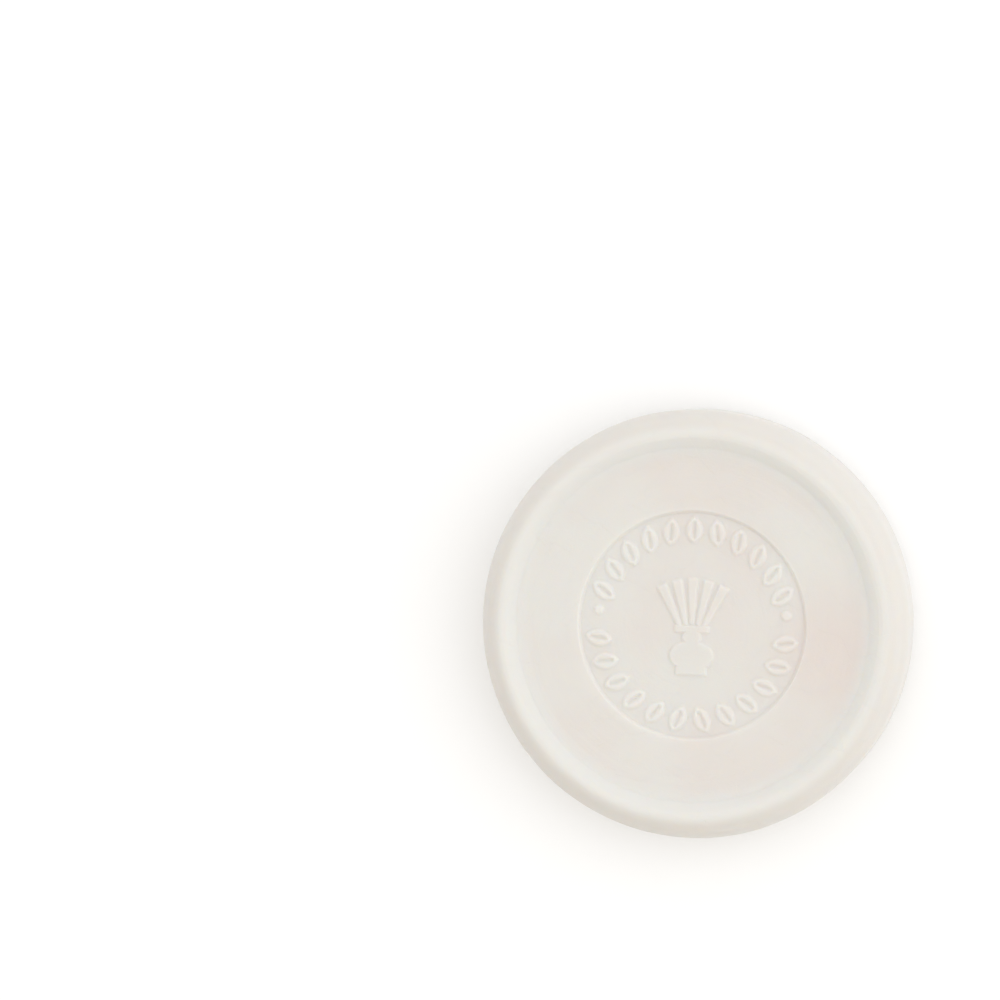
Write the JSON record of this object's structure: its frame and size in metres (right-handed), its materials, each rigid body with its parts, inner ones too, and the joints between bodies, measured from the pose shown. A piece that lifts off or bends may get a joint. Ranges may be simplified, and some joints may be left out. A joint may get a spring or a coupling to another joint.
{
  "type": "shaving soap puck",
  "caption": "Round pressed shaving soap puck with a rounded rim, a shallow brush dish and a stamped panel holding a raised leaf ring and a raised shaving brush.",
  "frame": {"origin": "centre of the flat back face, on its surface, with the puck lying on its back", "axes": "+Z out of the stamped front face along the puck's axis, +Y towards the top of the stamp, +X to the stamp's right"},
  "size_m": [0.07, 0.07, 0.017],
  "materials": {
    "soap": "satin, waxy, slightly translucent"
  },
  "bodies": {
    "root": {"soap_puck": "soap"}
  },
  "joints": []
}
